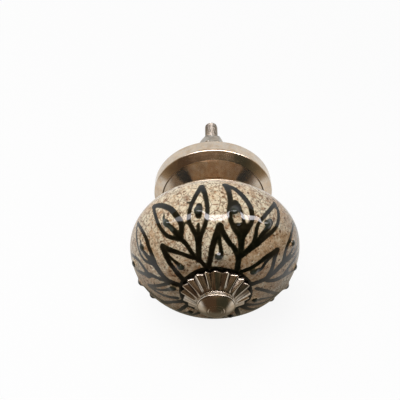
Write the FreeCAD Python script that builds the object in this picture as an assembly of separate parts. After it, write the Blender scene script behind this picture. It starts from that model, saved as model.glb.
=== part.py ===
import FreeCAD, Part
import math
import os

# Cabinet knob in millimetres. Its axis runs along Y, the front faces -Y and +Z is up.
# The origin is the centre of the mounting face, the back of the metal base that lies on the door.

# Ceramic ball
ball_diameter = 42.0
front_depth = 15.3
flat_depth = 13.2
flat_bend = 14.0
back_depth = 12.6
back_taper = 1.9
bore_clearance = 0.35

# Raised glaze dots, as angle round the axis from the top and as latitude from the widest circle
dot_width = 2.4
dot_height = 0.7
leaf_dots = [(-12.0, 21.6), (11.2, 21.8), (35.3, 23.8), (64.3, 21.5), (86.9, 26.0), (109.0, 27.0)]
leaf_dots += [(130.0, 24.0), (151.0, 22.5), (172.0, 24.0), (-167.0, 22.0), (-146.0, 24.0)]
leaf_dots += [(-125.5, 23.0), (-104.0, 27.0), (-84.9, 23.5), (-63.1, 26.3), (-34.7, 23.5)]
petal_dots = [(1.8, 55.7), (50.4, 59.0), (111.0, 61.5), (160.0, 58.0)]
petal_dots += [(-145.0, 60.0), (-84.3, 61.5), (-43.4, 56.8)]

# Metal base, from its flat back to the neck under the ball
base_diameter = 32.4
rim_height = 3.6
rim_round = 0.45
step_diameter = 28.1
step_height = 5.2
step_land = 0.3
step_groove = 0.15
crown_diameter = 19.2
crown_slope = 18.0
neck_diameter = 13.4
neck_fillet = 0.5
seat_height = 11.05
pocket_depth = 4.6

# Fluted flower washer
washer_diameter = 16.2
flute_count = 20
flute_depth = 0.65
sheet = 0.4
washer_height = 3.3
notch = 0.45

# Through bolt with a domed head, size M4
bolt_diameter = 3.9
head_diameter = 8.88
head_band = 1.15
dome_height = 1.75
bolt_projection = 9.1

# Hexagon nuts, size M4, and the door panel they clamp
nut_width = 7.0
nut_height = 3.2
nut_turn = 4.0
door_thickness = 16.0

# Sizes that follow from the ones above
ball_radius = ball_diameter / 2
neck_radius = neck_diameter / 2
bolt_radius = bolt_diameter / 2
bore_radius = bolt_radius + bore_clearance
washer_radius = washer_diameter / 2
washer_seat_radius = washer_radius + 0.15
back_seat_depth = back_depth * (1 - (neck_radius / ball_radius) ** back_taper) ** (1 / back_taper)
ball_y = -seat_height - back_seat_depth
front_seat_turn = math.acos(washer_seat_radius / ball_radius)
head_radius = head_diameter / 2
notch_share = notch / (washer_radius - head_radius)
ridge_height = (sheet + flute_depth - notch_share * washer_height) / (1 - notch_share)
ridge_slope = (washer_height - ridge_height) / (washer_radius - head_radius)
apex_height = washer_height + ridge_slope * head_radius
valley_slope = ridge_slope + flute_depth / (washer_radius - notch)
bolt_end_y = door_thickness + nut_height + bolt_projection


def front_point(turn):
    """Radius and place of the front outline, an ellipse that flattens towards flat_depth."""
    full = front_depth * math.sin(turn)
    depth = full / (1 + (full / flat_depth) ** flat_bend) ** (1 / flat_bend)
    return ball_radius * math.cos(turn), ball_y - depth


# Where the washer and the head sit on the ball
washer_y = front_point(front_seat_turn)[1]
head_y = washer_y - washer_height


def at(radius, angle, y):
    """The point at a radius and an angle round the axis, measured from the top towards +X."""
    turn = math.radians(angle)
    return FreeCAD.Vector(radius * math.sin(turn), y, radius * math.cos(turn))


def line(start, end):
    return Part.makeLine(at(start[0], 180, start[1]), at(end[0], 180, end[1]))


def arc(start, middle, end):
    points = [at(radius, 180, y) for radius, y in (start, middle, end)]
    return Part.Arc(points[0], points[1], points[2]).toShape()


def revolved(edges):
    """A solid turned round the Y axis from the edges of a closed profile."""
    face = Part.Face(Part.Wire(Part.sortEdges(edges)[0]))
    return face.revolve(FreeCAD.Vector(0, 0, 0), FreeCAD.Vector(0, 1, 0), 360)


def rod(radius, start_y, end_y):
    """A round bar along the axis."""
    low = FreeCAD.Vector(0, start_y, 0)
    return Part.makeCylinder(radius, end_y - start_y, low, FreeCAD.Vector(0, 1, 0))


def glaze_dot(angle, latitude):
    """A round drop of glaze that stands dot_height out of the front half of the ball."""
    turn = math.radians(latitude)
    place, lower, upper = [front_point(turn + change) for change in (0, -0.01, 0.01)]
    out = lower[1] - upper[1]
    forward = lower[0] - upper[0]
    length = math.hypot(out, forward)
    radius = (dot_width * dot_width / 4 + dot_height * dot_height) / (2 * dot_height)
    sunk = radius - dot_height
    top = at(place[0], angle, place[1])
    middle = at(place[0] - sunk * out / length, angle, place[1] + sunk * forward / length)
    return Part.makeSphere(radius, middle, top - middle)


def ceramic_body():
    """The flattened ball, fuller in front, with flat seats, a bolt hole and raised dots."""
    steps = 12
    points = [front_point(front_seat_turn * step / steps) for step in range(steps, 0, -1)]
    last = math.asin((back_seat_depth / back_depth) ** (back_taper / 2))
    for step in range(steps + 1):
        turn = last * step / steps
        radius = ball_radius * math.cos(turn) ** (2 / back_taper)
        points.append((radius, ball_y + back_depth * math.sin(turn) ** (2 / back_taper)))
    outline = Part.BSplineCurve()
    outline.interpolate([at(radius, 180, y) for radius, y in points])
    edges = [outline.toShape()]
    edges.append(line(points[-1], (bore_radius, -seat_height)))
    edges.append(line((bore_radius, -seat_height), (bore_radius, washer_y)))
    edges.append(line((bore_radius, washer_y), points[0]))
    ball = revolved(edges)
    ball.rotate(FreeCAD.Vector(0, 0, 0), FreeCAD.Vector(0, 1, 0), 19.0)
    dots = [glaze_dot(angle, latitude) for angle, latitude in leaf_dots + petal_dots]
    return ball.multiFuse(dots)


def base():
    """The plated base: flat back, rim, bevel up to a narrow step, sloping crown and neck."""
    radius = base_diameter / 2
    step = step_diameter / 2
    groove = step - step_land - step_groove
    half = math.sqrt(0.5)
    edges = [line((bore_radius, 0), (radius - rim_round, 0))]
    edges.append(arc((radius - rim_round, 0),
                     (radius - rim_round * (1 - half), -rim_round * (1 - half)),
                     (radius, -rim_round)))
    lean = math.atan2(step_height - rim_height, radius - step)
    start = rim_height - rim_round * math.tan(math.pi / 4 - lean / 2)
    bevel = (radius - rim_round * (1 - math.sin(lean)), -start - rim_round * math.cos(lean))
    turn = (math.pi / 2 + lean) / 2
    middle = (radius - rim_round * (1 - math.sin(turn)), -start - rim_round * math.cos(turn))
    edges.append(line((radius, -rim_round), (radius, -start)))
    edges.append(arc((radius, -start), middle, bevel))
    edges.append(line(bevel, (step, -step_height)))
    edges.append(line((step, -step_height), (step - step_land, -step_height)))
    edges.append(line((step - step_land, -step_height), (groove, -step_height + step_groove)))
    crown = crown_diameter / 2
    slope = math.tan(math.radians(crown_slope))
    crown_y = -step_height + step_groove - slope * (groove - crown)
    top_radius = (crown + neck_radius + neck_fillet) / 2
    top_y = crown_y - slope * (crown - top_radius) * 0.5
    bend = (crown * 0.5 + top_radius * 0.5, crown_y - slope * (crown - top_radius) * 0.375)
    edges.append(line((groove, -step_height + step_groove), (crown, crown_y)))
    edges.append(arc((crown, crown_y), bend, (top_radius, top_y)))
    foot = (neck_radius + neck_fillet, top_y)
    edges.append(line((top_radius, top_y), foot))
    edges.append(arc(foot, (foot[0] - neck_fillet * half, top_y - neck_fillet * (1 - half)),
                     (neck_radius, top_y - neck_fillet)))
    edges.append(line((neck_radius, top_y - neck_fillet), (neck_radius, -seat_height)))
    edges.append(line((neck_radius, -seat_height), (bore_radius, -seat_height)))
    edges.append(line((bore_radius, -seat_height), (bore_radius, 0)))
    pocket_radius = nut_width / math.sqrt(3) + 0.6
    return revolved(edges).cut(rod(pocket_radius, -pocket_depth, 1))


def fluted_cone(lift, low):
    """A cone with flat sided flutes, lifted along the axis and closed below at the height low."""
    reach = 1.5 * washer_radius
    levels = [apex_height - ridge_slope * reach + lift, apex_height - valley_slope * reach + lift]
    top = []
    bottom = []
    for step in range(2 * flute_count):
        angle = 180.0 * step / flute_count
        top.append(at(reach, angle, washer_y - levels[step % 2]))
        bottom.append(at(reach, angle, washer_y - low))
    tip = FreeCAD.Vector(0, washer_y - apex_height - lift, 0)
    faces = [Part.Face(Part.makePolygon(bottom + [bottom[0]]))]
    for step in range(2 * flute_count):
        after = (step + 1) % (2 * flute_count)
        faces.append(Part.Face(Part.makePolygon([tip, top[step], top[after], tip])))
        wall = [top[step], bottom[step], bottom[after], top[after], top[step]]
        faces.append(Part.Face(Part.makePolygon(wall)))
    return Part.Solid(Part.makeShell(faces))


def flower_washer():
    """A pressed washer of thin sheet, pleated into flutes, with a notched edge."""
    outline = []
    for step in range(2 * flute_count):
        radius = washer_radius if step % 2 == 0 else washer_radius - notch
        outline.append(at(radius, 180.0 * step / flute_count, washer_y + 1))
    edge = Part.Face(Part.makePolygon(outline + [outline[0]]))
    star = edge.extrude(FreeCAD.Vector(0, -washer_height - 1, 0))
    skin = fluted_cone(0, -4 * washer_height)
    core = fluted_cone(-sheet, -5 * washer_height)
    hub = rod(head_radius + 0.3, head_y, head_y + sheet + flute_depth * 0.6)
    washer = skin.common(star).cut(core).fuse(hub.common(skin))
    washer = washer.cut(rod(2 * washer_radius, washer_y, washer_y + 2))
    return washer.cut(rod(bolt_radius + 0.15, head_y - 1, washer_y + 1)).removeSplitter()


def through_bolt():
    """The bolt with its domed head in front and a chamfered end behind the door."""
    radius = head_radius
    groove = 0.12 * head_radius
    band = head_y - head_band
    shoulder = radius - groove / 2
    rounding = 0.4
    half = math.sqrt(0.5)
    sphere = (shoulder * shoulder + dome_height * dome_height) / (2 * dome_height)
    turn = 0.5 * math.asin(shoulder / sphere)
    centre = band - dome_height + sphere
    middle = (sphere * math.sin(turn), centre - sphere * math.cos(turn))
    chamfer = 0.28 * bolt_radius
    edges = [line((0, bolt_end_y), (bolt_radius - chamfer, bolt_end_y))]
    edges.append(line((bolt_radius - chamfer, bolt_end_y), (bolt_radius, bolt_end_y - chamfer)))
    edges.append(line((bolt_radius, bolt_end_y - chamfer), (bolt_radius, head_y)))
    edges.append(line((bolt_radius, head_y), (radius, head_y)))
    edges.append(line((radius, head_y), (radius, band + rounding)))
    edges.append(arc((radius, band + rounding),
                     (radius - rounding * (1 - half), band + rounding * (1 - half)),
                     (radius - rounding, band)))
    edges.append(line((radius - rounding, band), (shoulder - groove, band + 0.15)))
    edges.append(line((shoulder - groove, band + 0.15), (shoulder, band)))
    edges.append(arc((shoulder, band), middle, (0, band - dome_height)))
    edges.append(line((0, band - dome_height), (0, bolt_end_y)))
    return revolved(edges)


def hex_nut(start_y, turn):
    """A hexagon nut with its corners chamfered on both faces."""
    corner = nut_width / math.sqrt(3)
    outline = [at(corner, turn + 30 + 60 * step, start_y) for step in range(7)]
    nut = Part.Face(Part.makePolygon(outline)).extrude(FreeCAD.Vector(0, nut_height, 0))
    fall = (corner - nut_width / 2) * 0.6
    end_y = start_y + nut_height
    edges = [line((0, start_y), (nut_width / 2, start_y))]
    edges.append(line((nut_width / 2, start_y), (corner, start_y + fall)))
    edges.append(line((corner, start_y + fall), (corner, end_y - fall)))
    edges.append(line((corner, end_y - fall), (nut_width / 2, end_y)))
    edges.append(line((nut_width / 2, end_y), (0, end_y)))
    edges.append(line((0, end_y), (0, start_y)))
    nut = nut.common(revolved(edges))
    return nut.cut(rod(bolt_radius + 0.04, start_y - 1, end_y + 1))


def main():
    parts = {
        "ceramic_body": ceramic_body(),
        "base": base(),
        "flower_washer": flower_washer(),
        "through_bolt": through_bolt(),
        "lock_nut": hex_nut(-pocket_depth, 0.0),
        "mounting_nut": hex_nut(door_thickness, nut_turn),
    }
    os.makedirs("parts", exist_ok=True)
    for name, shape in parts.items():
        shape.exportStep("parts/" + name + ".step")


main()
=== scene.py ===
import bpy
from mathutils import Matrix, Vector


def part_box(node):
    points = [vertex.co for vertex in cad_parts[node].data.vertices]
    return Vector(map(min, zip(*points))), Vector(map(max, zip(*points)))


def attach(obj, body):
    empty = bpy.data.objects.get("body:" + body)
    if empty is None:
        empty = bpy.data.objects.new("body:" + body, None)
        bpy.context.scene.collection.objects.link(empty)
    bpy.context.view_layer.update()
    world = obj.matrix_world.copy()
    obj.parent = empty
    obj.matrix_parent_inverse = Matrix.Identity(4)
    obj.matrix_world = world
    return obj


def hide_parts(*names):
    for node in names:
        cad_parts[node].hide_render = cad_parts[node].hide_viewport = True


bl_info = {
    "name": "Painted ceramic knob",
    "version": (1, 0, 0),
    "blender": (4, 5, 0),
    "location": "View3D > Sidebar > Knob",
    "description": "Dresses a cabinet knob: hand painted glazed ball, turned base, pleated washer and bolt",
    "category": "Object",
}

import math

import bmesh
import bpy
import numpy as np
from bpy.props import FloatProperty, FloatVectorProperty, IntProperty, PointerProperty
from mathutils import Vector

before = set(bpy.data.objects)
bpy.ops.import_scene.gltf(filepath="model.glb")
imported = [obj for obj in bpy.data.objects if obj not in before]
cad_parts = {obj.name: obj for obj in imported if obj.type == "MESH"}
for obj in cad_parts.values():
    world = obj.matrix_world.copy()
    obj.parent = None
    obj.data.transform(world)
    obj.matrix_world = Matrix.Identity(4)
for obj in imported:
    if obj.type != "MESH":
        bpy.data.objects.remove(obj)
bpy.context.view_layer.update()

MM = 0.001
PROFILE_STEPS = 1500

# Where the pieces lie along the axis, read from the frame
FRONT_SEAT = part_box("flower_washer")[1].y
BACK_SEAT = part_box("ceramic_body")[1].y
HEAD_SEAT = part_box("flower_washer")[0].y
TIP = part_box("through_bolt")[0].y
BOLT_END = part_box("through_bolt")[1].y
NUT_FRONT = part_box("mounting_nut")[0].y
NUT_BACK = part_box("mounting_nut")[1].y

# Raised glaze dots, as angle round the axis from the top and as latitude from the widest circle
LEAF_DOTS = [(-12.0, 21.6), (11.2, 21.8), (35.3, 23.8), (64.3, 21.5), (86.9, 26.0), (109.0, 27.0),
             (130.0, 24.0), (151.0, 22.5), (172.0, 24.0), (-167.0, 22.0), (-146.0, 24.0),
             (-125.5, 23.0), (-104.0, 27.0), (-84.9, 23.5), (-63.1, 26.3), (-34.7, 23.5)]
PETAL_DOTS = [(1.8, 55.7), (50.4, 59.0), (111.0, 61.5), (160.0, 58.0),
              (-145.0, 60.0), (-84.3, 61.5), (-43.4, 56.8)]

# The value of the ink's depth where there is none, and where it is full
NO_INK = 1.5
FULL_INK = -1.0
# Width of a petal's dot against a leaf's, and how far the ink reaches on each kind
PETAL_DOT_SHARE = 0.86
LEAF_DOT_INK = 0.78
PETAL_DOT_INK = 0.92

# The painted strokes. A point is its angle round the axis from the top, in degrees,
# and its reach from the middle of the front along the surface, in millimetres.
# A stroke is its width at both ends and in the middle, in millimetres, and its points.
STROKES = [
    # Leaf left of the top, first its left side, then its right side and its inner stroke
    ((0.9, 1.0, 1.2), [(-43, 27.8), (-42, 24.9), (-41, 21.9), (-38, 19.1), (-31, 17.5)]),
    ((1.2, 1.5, 1.3), [(-43, 27.8), (-37, 26.7), (-30, 24.5), (-26, 21.7), (-25, 19.9), (-28, 17.7)]),
    ((0.3, 1.1, 1.6), [(-35, 24.2), (-36, 22.7), (-33, 20.5), (-29, 18)]),
    ((1.3, 1.0, 1.2), [(-30, 17.8), (-26, 15.8), (-23.5, 13), (-19.5, 11.2), (-15, 9.2)]),
    # Leaf at the top, to the left
    ((1.2, 1.0, 1.2), [(-9, 28.7), (-13, 25.9), (-17, 23.1), (-19, 20.7), (-18, 18.9), (-15, 16.5)]),
    ((1.3, 1.0, 1.1), [(-9, 28.7), (-7, 26.1), (-6, 22.9), (-7, 20.3), (-10, 18.1), (-14, 16.3)]),
    ((1.4, 1.7, 1.4), [(-11, 23.4), (-11.5, 22.4), (-12, 21.2)]),
    ((0.7, 1.0, 1.4), [(-13, 19.4), (-14, 17.7), (-15, 16.3)]),
    ((0.4, 0.5, 0.5), [(-18.5, 24.8), (-16, 24.5)]),
    ((0.4, 0.5, 0.5), [(-23, 19.8), (-21.5, 20.3), (-19, 19.7)]),
    ((1.9, 1.4, 1.4), [(-14.5, 16.9), (-15.5, 15.3), (-18, 13), (-20.5, 11.3)]),
    # Leaf at the top, to the right, with its dark comma and the filled fork below it
    ((1.4, 1.2, 1.0), [(5.5, 29), (7.5, 26.9), (8.5, 24.1), (8, 22.1), (10, 19.7), (14, 17.9), (19, 16.9)]),
    ((1.2, 1.3, 1.1), [(5.5, 29), (11, 28), (17, 26), (22, 23.7), (24, 21.1), (23, 19.1), (20, 16.8)]),
    ((2.0, 1.8, 0.6), [(11.5, 23.9), (13, 23.1), (15, 22.3)]),
    ((0.8, 0.7, 1.4), [(14, 23.7), (16.5, 21.9), (18.5, 20.3), (20, 18.9)]),
    ((0.8, 1.5, 1.0), [(11, 19.2), (17, 19.2), (23, 19.7)]),
    ((1.6, 2.6, 1.6), [(17, 18.9), (18.5, 17.9), (19.5, 16.5)]),
    ((1.8, 1.2, 1.5), [(19, 17.1), (21.5, 14.9), (23.5, 12.8), (26, 10.9), (31, 9)]),
    # Leaf right of the top
    ((1.1, 0.9, 1.2), [(40, 27.8), (35, 24.7), (30.5, 21.9), (29, 20.1), (30, 18.1), (31, 16.3)]),
    ((1.1, 1.0, 1.4), [(40, 27.8), (43, 25.9), (44, 23.1), (42, 20.9), (38, 18.7), (34, 16.7)]),
    ((1.8, 1.2, 1.4), [(37.5, 22.3), (36.5, 20.5), (35, 19.1), (34, 17.3)]),
    ((2.0, 1.5, 1.3), [(33.5, 16.9), (30, 15.1), (26.5, 13.3), (23, 12)]),
    # Leaf at the left side and the one below it
    ((0.8, 0.8, 1.0), [(-61, 27.5), (-64, 25.5), (-67, 22.9), (-70, 20.3), (-70, 18.3), (-66, 16.4)]),
    ((0.8, 1.2, 1.2), [(-61, 27.5), (-57.5, 24.7), (-56, 21.7), (-58, 19.3), (-62, 16.5)]),
    ((0.6, 1.2, 1.6), [(-62, 22.4), (-64, 20.5), (-65, 18.9), (-64, 16.9)]),
    ((1.7, 1.4, 1.6), [(-64, 16.4), (-67.5, 14.5), (-71, 12.8), (-74, 11.2), (-75, 8.8)]),
    ((0.9, 1.0, 1.1), [(-84, 24.7), (-78, 21.5), (-77.5, 19.3), (-80, 16.7)]),
    ((0.9, 1.1, 1.2), [(-84, 24.7), (-90, 22.7), (-88, 19.7), (-82, 16.7)]),
    ((2.0, 1.1, 1.3), [(-83, 16.9), (-79, 15.6), (-77, 13.5), (-74.5, 11.8)]),
    # Leaf at the right side and the one below it
    ((0.9, 1.0, 1.2), [(61, 27.5), (60, 24.1), (60.5, 21.1), (63, 19.1), (68, 17.7)]),
    ((0.9, 0.9, 1.1), [(61, 27.5), (68, 27.3), (73.5, 24.7), (74, 21.9), (71, 18.9)]),
    ((1.4, 0.9, 1.2), [(67, 22.9), (69, 20.9), (69, 18.4)]),
    ((2.0, 1.3, 1.5), [(69, 18.3), (69.5, 15.9), (71.5, 13.5), (72.5, 11.6), (73, 8.7)]),
    ((0.9, 1.0, 1.1), [(84, 26.1), (80, 23.1), (79, 20.1), (81, 17.3)]),
    ((0.9, 1.0, 1.1), [(84, 26.1), (91, 24.1), (90, 21.1), (84, 17.3)]),
    ((1.8, 1.2, 1.3), [(84, 17.7), (82.5, 15.1), (78.5, 12.8), (73, 12)]),
    # The three petals in front, each with its two sides and its inner stroke down to the dot
    ((1.7, 1.4, 1.3), [(2, 18.7), (-1, 16.3), (-4, 14.1), (-6, 12.2), (-11, 9.2)]),
    ((1.4, 1.2, 1.3), [(2, 18.7), (6, 16.7), (11, 15.1), (16, 14.1), (22.5, 12.4)]),
    ((1.0, 0.9, 1.3), [(1.5, 16.7), (2.5, 14.9), (4, 13.2), (4, 12.2)]),
    ((1.6, 1.1, 1.2), [(-46, 17.5), (-41, 15.9), (-34, 14.2), (-28.5, 12.9), (-22.5, 12)]),
    ((1.6, 1.3, 1.4), [(-46, 17.5), (-50, 14.3), (-53, 11.6), (-62, 8.4)]),
    ((0.8, 0.8, 1.3), [(-46.5, 15.9), (-45, 13.7), (-43, 12)]),
    ((1.6, 1.1, 1.2), [(54, 17.9), (49, 15.1), (45.5, 12.2), (42, 10.2), (38, 8.9)]),
    ((1.4, 1.1, 1.3), [(54, 17.9), (58.5, 15.9), (64.5, 14.3), (71.5, 12.4)]),
    ((0.8, 0.9, 1.3), [(53, 16.1), (52.5, 14.3), (54.5, 12.5), (52, 11.5)]),
    # Lower petals at both sides
    ((1.2, 1.0, 1.2), [(-97, 16.7), (-89, 13.8), (-81.5, 11.9), (-73.5, 10.7)]),
    ((1.2, 1.0, 1.3), [(-97, 16.7), (-102, 14), (-105, 11.9), (-108.5, 9.7)]),
    ((0.8, 0.8, 1.3), [(-96.5, 14.8), (-94, 12.5), (-88, 10.6)]),
    ((1.2, 1.0, 1.2), [(111, 17.5), (102, 14.2), (94, 11.8), (86, 9.6)]),
    ((1.2, 1.0, 1.3), [(111, 17.5), (118, 14.6), (122, 12.2), (128, 9.4)]),
    ((0.8, 0.8, 1.3), [(111, 15.6), (110, 13), (111, 11.4)]),
]
# Two inner strokes of grey glaze, in the same grey as the dots' painted sheen, each by its two ends as angle
# and reach
SEEDS = [((-37.0, 23.0), (-33.0, 19.9)), ((37.0, 22.6), (34.5, 20.4))]
# A pinhole in the glaze, as angle and reach
PINHOLE = (15.2, 19.6)
# Forks of two leaves and the petals between them where the pattern goes on below,
# each by the angle at which its stem leaves the ring
LOWER_FORKS = [(134, 1), (-175, -1), (-118, 1)]
LOWER_PETALS = [(160, 1), (-145, -1)]
# Leaves round the back of the ball, by angle, by how far their tips lean,
# and by how wide their middle is filled, as the base mirrors it
BACK_LEAVES = [(-160, 4, 1.3), (-112, -3, 1.3), (-58, 4, 4.6), (62, -4, 3.6), (118, 4, 1.3), (165, -3, 1.3)]
# The painted ring that hugs the washer, as angle and reach
RING = [(-170, 7.9), (-140, 8.1), (-110, 7.8), (-71, 7.8), (-46, 7.8), (-23, 8.1), (1, 7.9),
        (33, 7.8), (57, 7.7), (72, 7.6), (110, 7.9), (150, 8.0)]
RING_WIDTH = 2.0


def length(name, description, millimetres):
    """A length, with its default in millimetres."""
    return FloatProperty(name=name, description=description, default=millimetres * MM,
                         unit="LENGTH", subtype="DISTANCE", precision=5)


def colour(name, description, value):
    """A colour, with its default in linear light."""
    return FloatVectorProperty(name=name, description=description, default=value,
                               subtype="COLOR", size=3, min=0.0, max=1.0)


class KnobBallSettings(bpy.types.PropertyGroup):
    """Sizes and colours of the ceramic ball"""
    diameter: length("Diameter", "Widest circle of the ball", 42.0)
    front_depth: length("Front depth", "From the widest circle to the middle of the front", 15.3)
    flat_depth: length("Flat depth", "Depth to which the front flattens under the washer", 13.2)
    flat_bend: FloatProperty(name="Flat bend", description="How sharply the front flattens",
                             default=14.0, min=2.0)
    back_depth: length("Back depth", "From the widest circle to the back", 12.6)
    back_taper: FloatProperty(name="Back taper", description="Fullness of the back, 2 is an ellipse",
                              default=1.9, min=1.2, max=3.0)
    bore: length("Bore", "Diameter of the hole for the bolt", 4.6)
    dot_width: length("Dot width", "Width of a raised glaze dot", 2.15)
    dot_height: length("Dot height", "Height of a raised glaze dot", 0.72)
    columns: IntProperty(name="Columns", description="Mesh columns round the ball", default=448, min=64)
    rows: IntProperty(name="Rows", description="Mesh rows from front to back", default=208, min=32)
    cream: colour("Cream", "Glaze where it is palest", (0.83, 0.715, 0.51))
    tan: colour("Tan", "Glaze where it is warmest", (0.67, 0.455, 0.265))
    pale: colour("Pale", "Palest flecks of the glaze", (0.93, 0.83, 0.62))
    cloud: colour("Cloud", "Brown of the soft clouds in the glaze", (0.46, 0.25, 0.115))
    freckle: colour("Freckle", "Brown of the fine mottling", (0.40, 0.18, 0.075))
    stain: colour("Stain", "Brown in the cracks and specks", (0.14, 0.058, 0.022))
    wide_crack: length("Wide cracks", "Size of the tiles between the wide cracks", 1.9)
    fine_crack: length("Fine cracks", "Size of the tiles between the fine cracks", 0.85)
    ink: colour("Ink", "Painted strokes", (0.0030, 0.0033, 0.0014))
    # Grey of the painted sheen in the middle of each raised dot, also the grey of the two inner strokes
    dot_sheen_grey: colour("Dot grey", "Middle of a raised dot", (0.045, 0.054, 0.041))
    ink_edge: colour("Ink edge", "Thin ink at the edge of a stroke", (0.046, 0.038, 0.018))


class KnobMetalSettings(bpy.types.PropertyGroup):
    """Sizes and colours of the metal pieces"""
    base_diameter: length("Base diameter", "Outer diameter of the base", 32.4)
    rim_height: length("Rim height", "Height of the outer wall of the base", 3.6)
    rim_round: length("Rim round", "Rounding of the outer edges of the base", 0.45)
    step_diameter: length("Step diameter", "Diameter of the narrow step on the base", 28.1)
    step_height: length("Step height", "Height of the narrow step on the base", 5.2)
    crown_diameter: length("Crown diameter", "Where the sloping crown bends up to the neck", 19.2)
    crown_slope: FloatProperty(name="Crown slope", description="Slope of the crown",
                               default=math.radians(18.0), subtype="ANGLE", unit="ROTATION")
    neck_diameter: length("Neck diameter", "Diameter of the neck under the ball", 13.4)
    pocket_depth: length("Pocket depth", "Depth of the pocket for the inner nut", 4.6)
    washer_diameter: length("Washer diameter", "Outer diameter of the pleated washer", 16.2)
    pleats: IntProperty(name="Pleats", description="Pleats of the washer", default=20, min=6)
    pleat_depth: length("Pleat depth", "Depth of a pleat at the edge", 0.92)
    sheet: length("Sheet", "Thickness of the washer's sheet", 0.4)
    notch: length("Notch", "Depth of the notches in the washer's edge", 0.84)
    head_diameter: length("Head diameter", "Diameter of the bolt's head", 8.88)
    head_band: length("Head band", "Height of the band round the head", 1.15)
    thread_diameter: length("Thread diameter", "Outer diameter of the thread", 3.9)
    pitch: length("Pitch", "Pitch of the thread", 0.7)
    nut_width: length("Nut width", "Nut across its flats", 7.0)
    nickel: colour("Nickel", "Plating of the base", (0.60, 0.535, 0.455))
    silver: colour("Silver", "Washer and head", (0.60, 0.55, 0.48))
    steel: colour("Steel", "Thread and nut", (0.42, 0.40, 0.365))
    worn_plate: colour("Worn plate", "Brown blotches of the base's plating", (0.36, 0.25, 0.15))
    # Dark tarnish of the metals, also the colour of the painted shade on the washer's pleat sides and edge
    tarnish_and_shade: colour("Tarnish", "Dark deposit in the hollows", (0.055, 0.040, 0.028))


class KnobStudioSettings(bpy.types.PropertyGroup):
    """Camera, lamps and floor"""
    camera_place: FloatVectorProperty(name="Camera", description="Place of the camera",
                                      default=(-0.00382, -0.11058, 0.10219), subtype="TRANSLATION",
                                      unit="LENGTH", precision=5)
    camera_aim: FloatVectorProperty(name="Aim", description="Point that the camera looks at",
                                    default=(-0.003635, -0.01353, 0.007903), subtype="TRANSLATION",
                                    unit="LENGTH", precision=5)
    lens: FloatProperty(name="Lens", description="Focal length in millimetres", default=48.23,
                        subtype="DISTANCE_CAMERA", unit="CAMERA")
    lamp_power: FloatProperty(name="Lamp power", description="Power of the soft lamp overhead",
                              default=4.1, min=0.0, subtype="POWER", unit="POWER")
    lamp_size: length("Lamp size", "Side of the soft lamp overhead", 500.0)
    fill: FloatProperty(name="Fill", description="Strength of the even light from all round",
                        default=0.10, min=0.0, subtype="FACTOR")
    bounce: FloatProperty(name="Bounce", description="Share of the light that the floor throws back",
                          default=0.16, min=0.0, max=1.0, subtype="FACTOR")
    white: FloatProperty(name="White floor", description="How much of the floor's shadow is lightened",
                         default=0.90, min=0.0, max=1.0, subtype="FACTOR")
    lamp_place: FloatVectorProperty(name="Lamp", description="Place of the soft lamp overhead",
                                    default=(-0.14, -0.10, 0.60), subtype="TRANSLATION", unit="LENGTH")
    glow: FloatProperty(name="Glow", description="Strength of the strip that the glaze mirrors",
                        default=15.0, min=0.0)
    room_dark: colour("Dark room", "Room in front of the knob, to the left", (0.098, 0.059, 0.034))
    room_green: colour("Green room", "Room in front of the knob, to the right", (0.053, 0.050, 0.031))
    room_brown: colour("Brown room", "Upper part of the room in front of the knob", (0.26, 0.17, 0.085))
    room_side: colour("Side room", "Room at both sides, further out", (0.31, 0.225, 0.135))
    room_ceiling: colour("Ceiling", "Room straight above the knob", (0.60, 0.53, 0.42))
    room_pale: colour("Pale room", "Pale ground close to the knob at both sides", (0.62, 0.56, 0.48))
    # Painted shadow of the knob on the mirrored ground, under it and just in front
    room_knob_shadow: colour("Low room", "Dark ground under the knob and just in front", (0.16, 0.14, 0.10))


def settings():
    """The settings of the ball, of the metal pieces and of the studio."""
    scene = bpy.context.scene
    return scene.knob_ball, scene.knob_metal, scene.knob_studio


def feed(tree, node, inputs):
    """Sets the inputs of a node, or links them."""
    for name, value in inputs.items():
        if isinstance(value, bpy.types.NodeSocket):
            tree.links.new(value, node.inputs[name])
        else:
            node.inputs[name].default_value = value
    return node


def add(tree, kind, inputs=None, **values):
    """A new shader node with its settings, and its inputs set or linked."""
    node = tree.nodes.new("ShaderNode" + kind)
    for name, value in values.items():
        setattr(node, name, value)
    return feed(tree, node, inputs or {})


def calc(tree, operation, *values, clamp=False):
    """The result of a Math node."""
    node = add(tree, "Math", {i: value for i, value in enumerate(values)}, operation=operation)
    node.use_clamp = clamp
    return node.outputs[0]


def across_both(tree, first, second):
    """The length of the long side over two sides that stand square to each other."""
    squares = [calc(tree, "POWER", side, 2.0) for side in (first, second)]
    return calc(tree, "SQRT", calc(tree, "ADD", *squares))


def blend(tree, factor, first, second):
    """The colour mixed from two colours."""
    first = (*first, 1.0) if isinstance(first, (tuple, list)) and len(first) == 3 else first
    second = (*second, 1.0) if isinstance(second, (tuple, list)) and len(second) == 3 else second
    node = add(tree, "Mix", {"Factor": factor, "A": first, "B": second}, data_type="RGBA")
    return node.outputs["Result"]


def fade(tree, value, start, end, low=0.0, high=1.0, soft=True):
    """A value that goes from low to high as the input goes from start to end."""
    node = add(tree, "MapRange", {"Value": value, "From Min": start, "From Max": end,
                                  "To Min": low, "To Max": high})
    node.interpolation_type = "SMOOTHSTEP" if soft else "LINEAR"
    return node.outputs["Result"]


def noise(tree, place, size, detail=3.0, roughness=0.55, distortion=0.0):
    """Noise with patches of a size in metres."""
    node = add(tree, "TexNoise", {"Vector": place, "Scale": 1.0 / size, "Detail": detail,
                                  "Roughness": roughness, "Distortion": distortion})
    return node.outputs["Fac"]


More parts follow.
